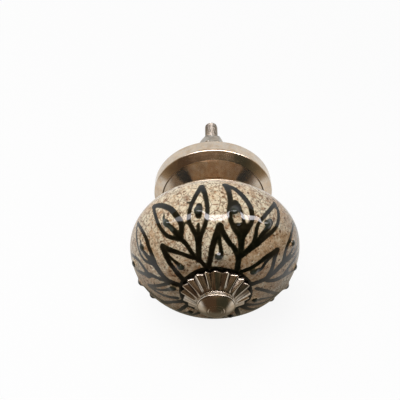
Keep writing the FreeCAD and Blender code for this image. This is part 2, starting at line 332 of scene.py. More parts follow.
def group(name, inputs, outputs):
    """A node group with named sockets, and its input and output nodes."""
    tree = bpy.data.node_groups.new(name, "ShaderNodeTree")
    for label, kind, default in inputs:
        made = tree.interface.new_socket(label, in_out="INPUT", socket_type=kind)
        made.default_value = default
    for label, kind in outputs:
        tree.interface.new_socket(label, in_out="OUTPUT", socket_type=kind)
    return tree, tree.nodes.new("NodeGroupInput"), tree.nodes.new("NodeGroupOutput")


def turned_lines_group():
    """Fine rings left by the lathe, which run round the axis and vary along it."""
    tree, start, end = group("turned_lines", [
        ("Pitch", "NodeSocketFloat", 0.2), ("Depth", "NodeSocketFloat", 1.0)],
        [("Height", "NodeSocketFloat"), ("Lines", "NodeSocketFloat")])
    place = add(tree, "TexCoord").outputs["Object"]
    parts = add(tree, "SeparateXYZ", {"Vector": place})
    across = across_both(tree, parts.outputs["X"], parts.outputs["Z"])
    scaled = calc(tree, "DIVIDE", 1000.0, start.outputs["Pitch"])
    turn = calc(tree, "ARCTAN2", parts.outputs["X"], parts.outputs["Z"])
    ring = add(tree, "CombineXYZ", {"X": calc(tree, "MULTIPLY", across, scaled),
                                    "Y": calc(tree, "MULTIPLY", parts.outputs["Y"], scaled),
                                    "Z": calc(tree, "MULTIPLY", calc(tree, "SINE", turn), 0.35)})
    lines = add(tree, "TexNoise", {"Vector": ring.outputs[0], "Scale": 1.0, "Detail": 4.0,
                                   "Roughness": 0.75}).outputs["Fac"]
    tree.links.new(calc(tree, "MULTIPLY", lines, start.outputs["Depth"]), end.inputs["Height"])
    tree.links.new(lines, end.inputs["Lines"])
    return tree


def tarnish_and_shade_group():
    """Dark tarnish in patches, with fine specks, and darkening where the mesh values ask: tarnish in the
    hollows, and painted shade on the washer.
    """
    tree, start, end = group("tarnish_and_shade", [
        ("Hollow", "NodeSocketFloat", 0.0), ("Amount", "NodeSocketFloat", 0.5),
        ("Patch", "NodeSocketFloat", 2.0)],
        [("Mask", "NodeSocketFloat"), ("Grain", "NodeSocketFloat")])
    place = add(tree, "TexCoord").outputs["Object"]
    scale = calc(tree, "DIVIDE", 1000.0, start.outputs["Patch"])
    patch = add(tree, "TexNoise", {"Vector": place, "Scale": scale, "Detail": 5.0,
                                   "Roughness": 0.65}).outputs["Fac"]
    grain = noise(tree, place, 0.25 * MM, 2.0, 0.6)
    uneven = fade(tree, patch, 0.38, 0.68)
    specks = fade(tree, grain, 0.60, 0.72)
    thin = calc(tree, "MULTIPLY", uneven, start.outputs["Amount"])
    # The mesh values bring tarnish in the hollows, and on the washer painted shade as well
    hollow_and_shade = calc(tree, "MULTIPLY", start.outputs["Hollow"], fade(tree, patch, 0.25, 0.55, 0.6, 1.0))
    both = calc(tree, "MAXIMUM", thin, hollow_and_shade)
    mask = calc(tree, "ADD", both, calc(tree, "MULTIPLY", specks, 0.18), clamp=True)
    tree.links.new(mask, end.inputs["Mask"])
    tree.links.new(grain, end.inputs["Grain"])
    return tree


def use_group(tree, name, **inputs):
    """A node of a node group, which is built when it is first used."""
    node = tree.nodes.new("ShaderNodeGroup")
    node.node_tree = bpy.data.node_groups.get(name) or GROUPS[name]()
    return feed(tree, node, inputs)


GROUPS = {"turned_lines": turned_lines_group, "tarnish_and_shade": tarnish_and_shade_group}


def material(name):
    """A new material, its node tree and its shader."""
    made = bpy.data.materials.new(name)
    made.use_nodes = True
    return made, made.node_tree, made.node_tree.nodes["Principled BSDF"]


def bump(tree, height, distance, strength=1.0, normal=None):
    """The normal as a height bends it."""
    inputs = {"Height": height, "Distance": distance, "Strength": strength}
    if normal is not None:
        inputs["Normal"] = normal
    return add(tree, "Bump", inputs).outputs["Normal"]


def glaze_material(ball, pinhole):
    """Crackled cream glaze over hand painted strokes, under a clear glassy coat."""
    made, tree, shader = material("painted_glaze")
    place = add(tree, "TexCoord").outputs["Object"]
    ink = add(tree, "Attribute", attribute_name="ink").outputs["Fac"]
    warp = add(tree, "TexNoise", {"Vector": place, "Scale": 1.0 / (1.6 * MM), "Detail": 3.0})
    shift = add(tree, "VectorMath", {0: warp.outputs["Color"], 1: (0.5, 0.5, 0.5)}, operation="SUBTRACT")
    moved = add(tree, "VectorMath", {0: shift.outputs[0], "Scale": 1.3 * MM}, operation="SCALE")
    bent = add(tree, "VectorMath", {0: place, 1: moved.outputs[0]}, operation="ADD").outputs[0]

    def cracks(size, width):
        cells = add(tree, "TexVoronoi", {"Vector": bent, "Scale": 1.0 / size}, feature="DISTANCE_TO_EDGE")
        return fade(tree, cells.outputs["Distance"], width, 0.0)

    parts = add(tree, "SeparateXYZ", {"Vector": place})
    # Painted light: the glaze is made paler toward the top and the left, where the lamp's light falls, and
    # warmer below
    aside = calc(tree, "MULTIPLY", parts.outputs["X"], 0.35)
    toward_lamp = calc(tree, "SUBTRACT", parts.outputs["Z"], aside)
    patches = calc(tree, "SUBTRACT", noise(tree, place, 6.5 * MM, 4.0, 0.6),
                   fade(tree, toward_lamp, 6.0 * MM, 19.0 * MM, -0.05, 0.12))
    cloud = noise(tree, bent, 1.5 * MM, 4.0, 0.65)
    body = blend(tree, fade(tree, patches, 0.34, 0.62), tuple(ball.cream), tuple(ball.tan))
    body = blend(tree, fade(tree, cloud, 0.50, 0.68, 0.0, 0.8), body, tuple(ball.cloud))
    body = blend(tree, fade(tree, cloud, 0.47, 0.30, 0.0, 0.85), body, tuple(ball.pale))
    mottle = noise(tree, place, 0.60 * MM, 3.0, 0.7)
    body = blend(tree, fade(tree, mottle, 0.50, 0.66, 0.0, 0.72), body, tuple(ball.freckle))
    body = blend(tree, fade(tree, mottle, 0.44, 0.32, 0.0, 0.50), body, tuple(ball.pale))
    wide = calc(tree, "MULTIPLY", cracks(ball.wide_crack, 0.09), fade(tree, patches, 0.34, 0.60, 1.0, 0.35))
    fine = calc(tree, "MULTIPLY", cracks(ball.fine_crack, 0.11), fade(tree, cloud, 0.42, 0.62, 0.0, 0.75))
    stained = calc(tree, "MAXIMUM", wide, fine)
    body = blend(tree, calc(tree, "MULTIPLY", stained, 0.72), body, tuple(ball.stain))
    for spacing, rare, most, dark in ((1.2 * MM, 0.22, 0.33, 0.90), (0.72 * MM, 0.20, 0.44, 0.78)):
        cells = add(tree, "TexVoronoi", {"Vector": bent, "Scale": 1.0 / spacing}, feature="F1")
        chance = add(tree, "SeparateColor", {"Color": cells.outputs["Color"]}).outputs["Red"]
        size = fade(tree, chance, rare, 1.0, -0.05, most, soft=False)
        speck = fade(tree, calc(tree, "SUBTRACT", cells.outputs["Distance"], size), 0.03, -0.06)
        body = blend(tree, calc(tree, "MULTIPLY", speck, dark), body, tuple(ball.stain))

    ragged = calc(tree, "SUBTRACT", noise(tree, place, 0.55 * MM, 2.0), 0.5)
    line = calc(tree, "ADD", ink, calc(tree, "MULTIPLY", ragged, 0.22))
    mask = fade(tree, line, 0.075, -0.075)
    depth = fade(tree, line, -0.02, -0.30)
    wash = fade(tree, noise(tree, place, 1.1 * MM, 3.0), 0.45, 0.75, 0.0, 0.30)
    thick = calc(tree, "SUBTRACT", depth, wash, clamp=True)
    tone = blend(tree, thick, tuple(ball.ink_edge), tuple(ball.ink))
    # Painted sheen: the middle of each raised dot is made grey; the two inner strokes take the same grey as
    # their glaze
    dot = add(tree, "Attribute", attribute_name="dot").outputs["Fac"]
    tone = blend(tree, dot, tone, tuple(ball.dot_sheen_grey))
    tree.links.new(blend(tree, mask, body, tone), shader.inputs["Base Color"])

    shader.inputs["Roughness"].default_value = 0.45
    shader.inputs["Specular IOR Level"].default_value = 0.0
    shader.inputs["Coat Weight"].default_value = 1.0
    shader.inputs["Coat Roughness"].default_value = 0.035
    shader.inputs["Coat IOR"].default_value = 1.45
    ripple = noise(tree, place, 2.6 * MM, 2.0, 0.4)
    pits = calc(tree, "MULTIPLY", fade(tree, noise(tree, place, 0.45 * MM, 2.0), 0.70, 0.80), 0.22)
    gap = add(tree, "VectorMath", {0: place, 1: tuple(pinhole)}, operation="DISTANCE").outputs["Value"]
    hole = fade(tree, gap, 0.42 * MM, 0.12 * MM, 0.0, 5.0)
    height = calc(tree, "SUBTRACT", ripple, calc(tree, "ADD", pits, hole))
    wavy = bump(tree, height, 0.035 * MM, 0.8)
    tree.links.new(wavy, shader.inputs["Normal"])
    tree.links.new(wavy, shader.inputs["Coat Normal"])
    return made


def metal_material(name, tint, tarnish_and_shade, roughness, amount, patch, pitch, depth, hollow_and_shade=None, worn=0.25,
                   dull=0.28):
    """Plated metal with lathe rings, fine wear and a tarnish that dulls it.

    Patch and pitch are millimetres. The hollow argument names the mesh values that say where tarnish gathers
    and where shade is painted on.
    """
    made, tree, shader = material(name)
    hollow_and_shade_value = add(tree, "Attribute", attribute_name=hollow_and_shade).outputs["Fac"] if hollow_and_shade else 0.0
    dark = use_group(tree, "tarnish_and_shade", Hollow=hollow_and_shade_value, Amount=amount, Patch=patch)
    rings = use_group(tree, "turned_lines", Pitch=pitch, Depth=depth)
    place = add(tree, "TexCoord").outputs["Object"]
    wear = noise(tree, place, 1.8 * MM, 4.0, 0.7)
    warm = tuple(min(1.0, part * factor) for part, factor in zip(tint, (1.08, 0.97, 0.84)))
    base = blend(tree, fade(tree, wear, 0.35, 0.7), tuple(tint), warm)
    base = blend(tree, fade(tree, rings.outputs["Lines"], 0.35, 0.75, 0.0, 0.20), base,
                 tuple(part * 0.6 for part in tint))
    base = blend(tree, dark.outputs["Mask"], base, tuple(tarnish_and_shade))
    tree.links.new(base, shader.inputs["Base Color"])
    shader.inputs["Metallic"].default_value = 1.0
    rough = fade(tree, wear, 0.3, 0.75, roughness * (1.0 - worn), roughness * (1.0 + worn))
    rough = calc(tree, "ADD", rough, calc(tree, "MULTIPLY", dark.outputs["Mask"], dull), clamp=True)
    tree.links.new(rough, shader.inputs["Roughness"])
    fine = bump(tree, dark.outputs["Grain"], 0.004 * MM, 0.6)
    tree.links.new(bump(tree, rings.outputs["Height"], 0.012 * MM, 0.8, fine), shader.inputs["Normal"])
    return made


def put_in_scene(name, data):
    """A new object with its data, linked to the scene."""
    made = bpy.data.objects.new(name, data)
    bpy.context.scene.collection.objects.link(made)
    return made


def piece(name, points, faces, materials, smooth_angle=35.0, slots=None):
    """A mesh object with smooth faces, kept sharp at edges over the smooth angle."""
    mesh = bpy.data.meshes.new(name)
    mesh.from_pydata([tuple(p) for p in points], [], faces)
    mesh.validate()
    work = bmesh.new()
    work.from_mesh(mesh)
    bmesh.ops.recalc_face_normals(work, faces=work.faces)
    work.to_mesh(mesh)
    work.free()
    mesh.shade_smooth()
    mesh.set_sharp_from_angle(angle=math.radians(smooth_angle))
    for one in materials:
        mesh.materials.append(one)
    if slots is not None:
        mesh.polygons.foreach_set("material_index", slots)
    return put_in_scene(name, mesh)


def give_values(mesh, name, values):
    """Gives a mesh one named value for each point."""
    layer = mesh.attributes.new(name, "FLOAT", "POINT")
    layer.data.foreach_set("value", np.asarray(values, np.float32))


def ring_faces(rows, columns, closed):
    """Quads of a grid that closes round the axis, and from its last row to its first if closed."""
    faces = []
    for row in range(rows if closed else rows - 1):
        after = (row + 1) % rows
        for column in range(columns):
            right = (column + 1) % columns
            faces.append((row * columns + column, row * columns + right,
                          after * columns + right, after * columns + column))
    return faces


def laid_round(radius, along, turn):
    """The points that lie at a radius and a place along the axis, each turned round it from the top."""
    return np.stack([radius * np.sin(turn), along + 0.0 * turn, radius * np.cos(turn)], axis=-1)


def full_turn(columns):
    """The turns of a row's columns, which go round the axis once."""
    return np.linspace(0.0, 2.0 * math.pi, columns, endpoint=False)


def around(radius, along, columns):
    """Points of rows round the axis, from one radius and place along the axis for each row."""
    radius, along = (np.asarray(values, float)[:, None] for values in (radius, along))
    return laid_round(radius, along, full_turn(columns))


def rounded(corners, steps=6):
    """The points of an outline whose corners are rounded. A corner is radius, place and rounding."""
    points = []
    for number, (radius, along, size) in enumerate(corners):
        here = np.array([radius, along])
        before = np.array(corners[number - 1][:2]) - here
        after = np.array(corners[(number + 1) % len(corners)][:2]) - here
        if size <= 0.0:
            points.append(here)
            continue
        first = before / np.linalg.norm(before)
        second = after / np.linalg.norm(after)
        angle = math.acos(float(np.clip(first @ second, -1.0, 1.0)))
        room = 0.49 * min(np.linalg.norm(before), np.linalg.norm(after))
        reach = min(size / math.tan(angle / 2.0), room)
        for step in range(steps + 1):
            share = step / steps
            points.append(here + first * reach * (1 - share) ** 2 + second * reach * share ** 2)
    return np.array(points)


def turned(name, corners, materials, columns=256, steps=6):
    """A turned solid from the rounded corners of its closed outline."""
    outline = rounded(corners, steps)
    points = around(outline[:, 0], outline[:, 1], columns).reshape(-1, 3)
    return piece(name, points, ring_faces(len(outline), columns, True), materials)


def dress(made, slot, *nodes):
    """Gives a piece its body and hides the nodes that it takes the place of. The slot is not used."""
    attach(made, "root")
    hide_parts(*nodes)
    return made


class BallShape:
    """The outline of the ball, and the points on it."""

    def __init__(self, ball):
        self.radius = ball.diameter / 2.0
        self.back = ball.back_depth
        self.power = 2.0 / ball.back_taper
        neck = bpy.context.scene.knob_metal.neck_diameter / 2.0
        self.middle = BACK_SEAT - self.depth_at(neck)
        turn = np.linspace(math.pi / 2.0, 0.0, PROFILE_STEPS)
        full = ball.front_depth * np.sin(turn)
        depth = full / (1.0 + (full / ball.flat_depth) ** ball.flat_bend) ** (1.0 / ball.flat_bend)
        front = np.stack([self.radius * np.cos(turn), self.middle - depth], 1)
        turn = turn[::-1][1:]
        back = np.stack([self.radius * np.cos(turn) ** self.power,
                         self.middle + self.back * np.sin(turn) ** self.power], 1)
        self.line = np.vstack([front, back])
        gone = np.hypot(*np.diff(self.line, axis=0).T)
        self.reach = np.concatenate([[0.0], np.cumsum(gone)])

    def depth_at(self, radius):
        """How far behind the widest circle the back has a radius."""
        share = 1.0 - (radius / self.radius) ** (2.0 / self.power)
        return self.back * share ** (self.power / 2.0)

    def front_reach(self, radius):
        """The reach at which the front has a radius."""
        return float(np.interp(radius, self.line[:PROFILE_STEPS, 0], self.reach[:PROFILE_STEPS]))

    def back_reach(self, radius):
        """The reach at which the back has a radius."""
        return float(np.interp(-radius, -self.line[PROFILE_STEPS:, 0], self.reach[PROFILE_STEPS:]))

    def outline(self, reach):
        """Radius and place along the axis at a reach."""
        return tuple(np.interp(reach, self.reach, side) for side in self.line.T)

    def point(self, angle, reach):
        """The point at an angle in degrees and a reach in metres."""
        return laid_round(*self.outline(reach), np.radians(angle))


def flowing(points, steps=8):
    """A smooth line through points."""
    ends = [2 * points[0] - points[1]] + list(points) + [2 * points[-1] - points[-2]]
    line = []
    for first, second, third, fourth in zip(ends, ends[1:], ends[2:], ends[3:]):
        for step in range(steps):
            t = step / steps
            line.append(0.5 * (2 * second + (third - first) * t
                               + (2 * first - 5 * second + 4 * third - fourth) * t * t
                               + (3 * second - first - 3 * third + fourth) * t ** 3))
    line.append(points[-1])
    return np.array(line)


def all_strokes():
    """Every painted stroke: those listed above, then those worked out for the rest."""
    strokes = list(STROKES)
    for angle, lean in LOWER_FORKS:
        strokes.append(((1.6, 1.2, 1.8), [(angle, 9.0), (angle + lean, 11.8), (angle - lean, 14.4)]))
        for side in (-1, 1):
            foot = (angle + side * 6, 17.2)
            tip = (angle + side * 12.5 + lean, 28.6)
            strokes.append(((1.6, 1.1, 1.4), [(angle - lean, 14.2), (angle + side * 4, 15.9), foot]))
            strokes.append(((1.1, 1.0, 1.1), [foot, (foot[0] - side * 1.0, 19.6),
                                              (tip[0] - 5.8, 22.6), (tip[0] - 3.2, 26.2), tip]))
            strokes.append(((1.1, 1.1, 1.2), [foot, (foot[0] + side * 2.5, 19.4),
                                              (tip[0] + 5.6, 22.8), (tip[0] + 3.4, 26.0), tip]))
            strokes.append(((0.5, 1.0, 1.6), [(tip[0] - 1.0, 24.0), (tip[0], 21.4), foot]))
    for angle, lean in LOWER_PETALS:
        tip = (angle + lean, 18.6)
        strokes.append(((1.2, 1.1, 1.5), [(angle - 14, 9.2), (angle - 8, 12.6), (angle - 4, 15.8), tip]))
        strokes.append(((1.2, 1.1, 1.5), [(angle + 14, 9.2), (angle + 9, 12.4), (angle + 4, 15.6), tip]))
        strokes.append(((0.8, 0.9, 1.3), [(angle + lean, 16.4), (angle, 14.0), (angle, 12.2)]))
    for angle, lean, filled in BACK_LEAVES:
        tip = (angle + lean, 33.0)
        strokes.append(((1.5, 1.5, 1.6), [(angle, 46.4), (angle - 9, 41.8), (angle - 8, 37.2), tip]))
        strokes.append(((1.5, 1.5, 1.6), [(angle, 46.4), (angle + 9, 41.6), (angle + 8, 37.0), tip]))
        strokes.append(((0.6, filled, 1.8), [(angle + lean, 35.6), (angle, 40.5), (angle, 45.4)]))
    return strokes


def away_from_line(points, start, step):
    """How far points are from a straight line, and the share of the line at which each is nearest."""
    along = np.clip((points - start) @ step / (step @ step), 0.0, 1.0)
    return np.linalg.norm(points - start - along[:, None] * step, axis=1), along


def ink_depth(shape, points, dot_places, dot_radii):
    """For each point, how far it lies outside the nearest stroke, in millimetres; less than 0 is inked."""
    soft = 0.30
    around_stroke = 2.5
    around_dot = 3.0
    depth = np.full(len(points), NO_INK)

    def join(near, value):
        """Takes the lesser depth, with the corner between two strokes filled as ink fills it."""
        mix = np.clip(0.5 + 0.5 * (depth[near] - value) / soft, 0.0, 1.0)
        depth[near] = depth[near] * (1 - mix) + value * mix - soft * mix * (1 - mix)

    for widths, places in all_strokes() + [((RING_WIDTH,) * 3, RING + RING[:1])]:
        laid = np.array([shape.point(angle, reach * MM) for angle, reach in places])
        line = flowing(laid) / MM
        low, high = line.min(0) - around_stroke, line.max(0) + around_stroke
        near = np.where(np.all((points > low) & (points < high), axis=1))[0]
        here = points[near]
        share = np.linspace(0.0, 1.0, len(line))
        half = np.interp(share, [0.0, 0.5, 1.0], widths) / 2.0
        best = np.full(len(near), NO_INK)
        for number in range(len(line) - 1):
            gap, along = away_from_line(here, line[number], line[number + 1] - line[number])
            best = np.minimum(best, gap - half[number] * (1 - along) - half[number + 1] * along)
        join(near, best)
    for place, dot_radius in zip(dot_places, dot_radii):
        gap = np.linalg.norm(points - place / MM, axis=1)
        near = np.where(gap < around_dot)[0]
        join(near, gap[near] - dot_radius)
    return depth


class KNOB_OT_ball(bpy.types.Operator):
    """Build the glazed ball with its raised dots and painted strokes"""
    bl_idname = "knob.ball"
    bl_label = "Glazed ball"

    def surface(self, shape, first, last, ball):
        """Points of the outer surface in rows round the axis, and the way that each faces."""
        radius, along = shape.outline(np.linspace(first, last, ball.rows))
        points = around(radius, along, ball.columns)
        normals = around(np.gradient(along), -np.gradient(radius), ball.columns)
        normals /= np.linalg.norm(normals, axis=2)[:, :, None]
        return points.reshape(-1, 3), normals.reshape(-1, 3)

    def dot_lift(self, share):
        """The height of a dot as a share of the whole, from the share of its radius: a dome on a skirt."""
        dome = np.maximum((1.0 - 0.50 * share ** 2) / (1.0 + (share / 0.88) ** 5), 0.0)
        skirt = 0.30 * np.exp(-(share / 1.45) ** 2)
        return np.where(share < 1.4, dome * 0.75, 0.0) + skirt

    def dots(self, shape, ball, points):
        """The places of the dots and the reach of their ink, and for each point its lift and its grey: a
        painted sheen in the middle of each dot, and the inner strokes' own grey.
        """
        places = [shape.point(angle, shape.front_reach(shape.radius * math.cos(math.radians(latitude))))
                  for angle, latitude in LEAF_DOTS + PETAL_DOTS]
        sizes = np.random.default_rng(4).uniform(0.92, 1.06, len(places)) * ball.dot_width / 2.0
        on_leaf = np.arange(len(places)) < len(LEAF_DOTS)
        sizes[~on_leaf] *= PETAL_DOT_SHARE
        lifted = np.zeros(len(points))
        grey = np.zeros(len(points))
        for place, radius in zip(places, sizes):
            share = np.linalg.norm(points - place, axis=1) / radius
            # Painted sheen: grey that fades out from the middle of each dot
            grey = np.maximum(grey, np.clip(1.5 - 1.9 * share, 0.0, 1.0))
            lifted += self.dot_lift(share) * ball.dot_height
        seed_radius = 0.30 * MM
        for ends in SEEDS:
            start, stop = (shape.point(angle, reach * MM) for angle, reach in ends)
            gap = away_from_line(points, start, stop - start)[0]
            grey = np.maximum(grey, np.clip(2.0 - gap / seed_radius, 0.0, 1.0))
        return places, sizes / MM * np.where(on_leaf, LEAF_DOT_INK, PETAL_DOT_INK), lifted, grey

    def walls(self, neck, bore, seat, columns):
        """Points that close the ball behind, in the bore and under the washer, and their ink."""
        edge = 0.3 * MM
        painted_seat = 2.0 * MM
        bare = [(neck - edge / 2, BACK_SEAT), (bore + edge, BACK_SEAT), (bore, BACK_SEAT - edge),
                (bore, FRONT_SEAT + edge), (bore + edge, FRONT_SEAT)]
        painted = [(seat - painted_seat, FRONT_SEAT), (seat - edge / 2, FRONT_SEAT)]
        points = around(*zip(*(bare + painted)), columns).reshape(-1, 3)
        return points, np.repeat([NO_INK, FULL_INK], [len(bare) * columns, len(painted) * columns])

    def execute(self, context):
        ball, metal, _ = settings()
        shape = BallShape(ball)
        round_washer = 0.15 * MM
        seat = metal.washer_diameter / 2.0 + round_washer
        neck = metal.neck_diameter / 2.0
        points, normals = self.surface(shape, shape.front_reach(seat), shape.back_reach(neck), ball)
        places, inked, lifted, grey = self.dots(shape, ball, points)
        depth = ink_depth(shape, points / MM, places, inked)
        walls, wall_ink = self.walls(neck, ball.bore / 2.0, seat, ball.columns)
        points = np.vstack([points + normals * lifted[:, None], walls])
        faces = ring_faces(len(points) // ball.columns, ball.columns, True)
        pinhole = shape.point(PINHOLE[0], PINHOLE[1] * MM)
        made = piece("glazed_ball", points, faces, [glaze_material(ball, pinhole)], 60.0)
        give_values(made.data, "ink", np.concatenate([depth, wall_ink]))
        give_values(made.data, "dot", np.concatenate([grey, np.zeros(len(walls))]))
        dress(made, "ceramic", "ceramic_body")
        return {"FINISHED"}


class KNOB_OT_base(bpy.types.Operator):
    """Build the turned and plated base"""
    bl_idname = "knob.base"
    bl_label = "Turned base"

    def execute(self, context):
        ball, metal, _ = settings()
        radius = metal.base_diameter / 2.0
        step = metal.step_diameter / 2.0
        crown = metal.crown_diameter / 2.0
        neck = metal.neck_diameter / 2.0
        slope = math.tan(metal.crown_slope)
        lip = step - 0.3 * MM
        lip_fall = 0.06 * MM
        groove = lip - lip_fall
        groove_y = -metal.step_height + lip_fall
        crown_y = groove_y - slope * (groove - crown)
        top_y = crown_y - slope * (crown - neck) * 0.25
        round_nut = 0.6 * MM
        pocket = metal.nut_width / math.sqrt(3.0) + round_nut
        bore = ball.bore / 2.0
        corners = [
            (bore, -metal.pocket_depth, 0.0),
            (pocket, -metal.pocket_depth, 0.15 * MM),
            (pocket, 0.0, 0.2 * MM),
            (radius, 0.0, metal.rim_round),
            (radius, -metal.rim_height, metal.rim_round * 1.6),
            (step, -metal.step_height, 0.25 * MM),
            (lip, -metal.step_height, 0.1 * MM),
            (groove, groove_y, 0.1 * MM),
            (crown, crown_y, 2.6 * MM),
            (neck, top_y, 0.5 * MM),
            (neck, BACK_SEAT, 0.12 * MM),
            (bore, BACK_SEAT, 0.1 * MM),
        ]
        plating = metal_material("nickel_plate", metal.nickel, metal.worn_plate, roughness=0.17, amount=0.36,
                                 patch=2.4, pitch=0.16, depth=1.0, dull=0.08)
        dress(turned("turned_base", corners, [plating], 288, 8), "base_metal", "base")
        return {"FINISHED"}


class KNOB_OT_washer(bpy.types.Operator):
    """Build the pleated washer between the ball and the bolt's head"""
    bl_idname = "knob.washer"
    bl_label = "Pleated washer"

    def pleats(self, metal, columns, random):
        """The angle of each column, and how low it lies in its pleat, from 0 on a crest to 1 in a valley."""
        uneven_crest, uneven_valley, blunt_crest = 0.22, 0.12, 0.015
        turn = full_turn(columns)
        shift = random.uniform(-uneven_crest, uneven_crest, metal.pleats)
        middle = random.uniform(-uneven_valley, uneven_valley, metal.pleats)
        place = turn / (2.0 * math.pi) * metal.pleats
        number = np.floor(place).astype(int) % metal.pleats
        share = place - np.floor(place)
        start = shift[number]
        end = shift[(number + 1) % metal.pleats] + 1.0
        low = (start + end) / 2.0 + middle[number]
        moved = np.where(share < 0.5, start + (low - start) * share * 2,
                         low + (end - low) * (share * 2 - 1))
        angle = (np.floor(place) + moved) / metal.pleats * 2.0 * math.pi
        fall = 1.0 - np.abs(2.0 * share - 1.0)
        flat = math.sqrt(blunt_crest)
        fall = (np.sqrt(fall ** 2 + blunt_crest) - flat) / (math.sqrt(1 + blunt_crest) - flat)
        return angle, fall

    def rows(self, metal, columns, fall):
        """Rows from the hole out over the top and back below, each with radius, level and its share of
        tarnish and painted shade.
        """
        outer = metal.washer_diameter / 2.0
        head = metal.head_diameter / 2.0
        height = FRONT_SEAT - HEAD_SEAT
        under_head, hole, edge_round, edge_out = 0.25 * MM, 2.1 * MM, 0.10 * MM, 0.03 * MM
        share = metal.notch / (outer - head)
        ridge_height = (metal.sheet + metal.pleat_depth - share * height) / (1.0 - share)
        slope = (height - ridge_height) / (outer - head)
        reach = outer - metal.notch * fall
        tops = []
        for part in np.concatenate([[0.0, 0.04, 0.09], np.linspace(0.16, 1.0, 22)]):
            radius = (head - under_head) + (reach - head + under_head) * part
            depth = metal.pleat_depth * np.clip((radius - head) / (outer - head), 0.0, 1.0) ** 0.5
            level = height - slope * np.maximum(radius - head, 0.0) - depth * fall
            # Where the sheet meets the head it is darkened: tarnish and painted shade
            tops.append((radius, level, np.where(part > 0.1, fall, 0.7)))
        inner = np.full(columns, hole)
        rows = [(inner, np.full(columns, height - metal.sheet), fall * 0),
                (inner, np.full(columns, height), fall * 0)] + tops
        radius, level, value = tops[-1]
        # The rolled edge is darkened much more: painted shade that dims its glint
        for lower in (edge_round, metal.sheet - edge_round / 2.0):
            rows.append((radius + edge_out, np.maximum(level - lower, 0.0), value + 0.85))
        for radius, level, value in tops[::-1]:
            rows.append((radius - 0.02 * MM, np.maximum(level - metal.sheet, 0.0), value))
        return rows

    def tarnish_and_painted_shade(self, rows, columns, random):
        """How dark each point is made: tarnish, and painted shade on the pleats' sloping sides, in the
        valleys and on the edge, with streaks.
        """
        hollow_and_shade = np.concatenate([value for _, _, value in rows])
        # Painted shade: the sloping sides of the pleats are darkened, and the valleys and the edge more
        side = np.clip(hollow_and_shade * 4.0 - 0.6, 0.0, 0.52)
        bottom = np.clip(hollow_and_shade * 1.6 - 1.2, 0.0, 0.35)
        streaks = np.tile(random.normal(0.0, 0.13, columns), len(rows)) * np.clip(hollow_and_shade * 4.0, 0.0, 1.0)
        return np.clip(side + bottom + streaks, 0.0, 1.0)

    def execute(self, context):
        _, metal, _ = settings()
        random = np.random.default_rng(11)
        columns = metal.pleats * 16
        angle, fall = self.pleats(metal, columns, random)
        rows = self.rows(metal, columns, fall)
        points = [laid_round(radius, FRONT_SEAT - level, angle) for radius, level, _ in rows]
        silver = metal_material("antique_silver", metal.silver, metal.tarnish_and_shade, roughness=0.13, amount=0.45,
                                patch=1.0, pitch=0.5, depth=0.5, hollow_and_shade="hollow_and_shade", dull=0.10)
        faces = ring_faces(len(rows), columns, True)
        made = piece("pleated_washer", np.vstack(points), faces, [silver], 38.0)
        give_values(made.data, "hollow_and_shade", self.tarnish_and_painted_shade(rows, columns, random))
        dress(made, "washer_metal", "flower_washer")
        return {"FINISHED"}


